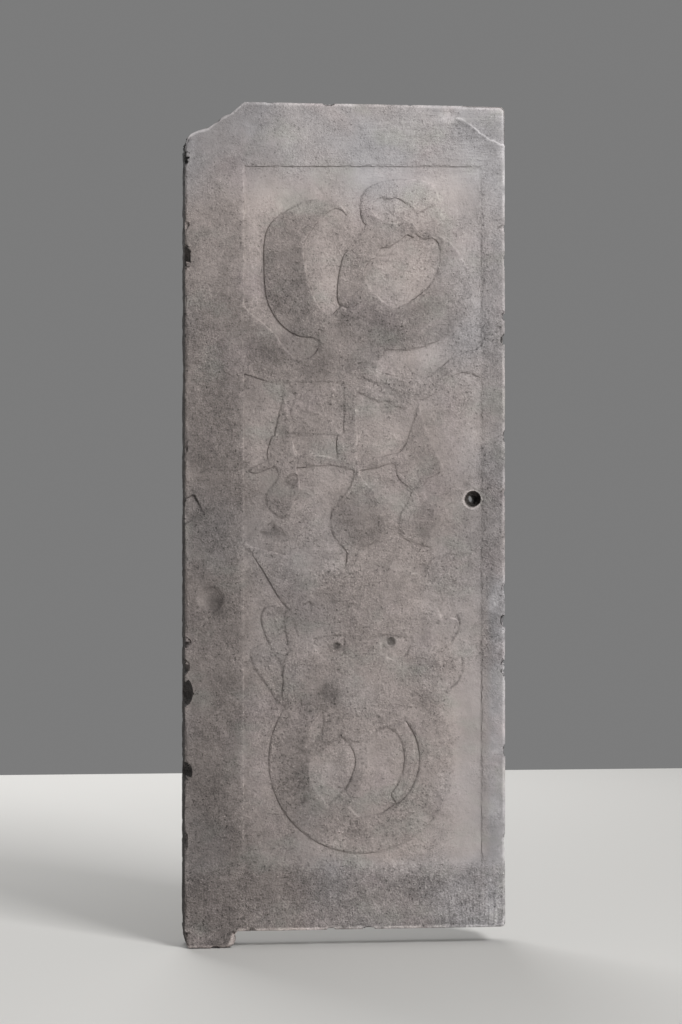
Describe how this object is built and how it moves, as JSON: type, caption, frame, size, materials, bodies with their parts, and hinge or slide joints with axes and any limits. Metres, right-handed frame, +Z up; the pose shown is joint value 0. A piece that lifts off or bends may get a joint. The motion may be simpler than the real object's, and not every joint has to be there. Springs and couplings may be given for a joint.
{
  "type": "stone relief panel",
  "caption": "Upright stone door leaf carved in low relief with a bird over a forked crown and a beast's mask holding a ring. It has a pivot stub, a pull hole, and worn and broken edges.",
  "frame": {"origin": "middle of the flat back of the slab, halfway up and halfway across, with the stub left out", "axes": "+X to the right of someone who faces the carving, +Y out of the plain back, away from the carving, and +Z up"},
  "size_m": [0.586, 0.1, 1.53],
  "materials": {
    "carved_stone": "matte"
  },
  "bodies": {
    "root": {"stone_panel": "carved_stone"}
  },
  "joints": []
}
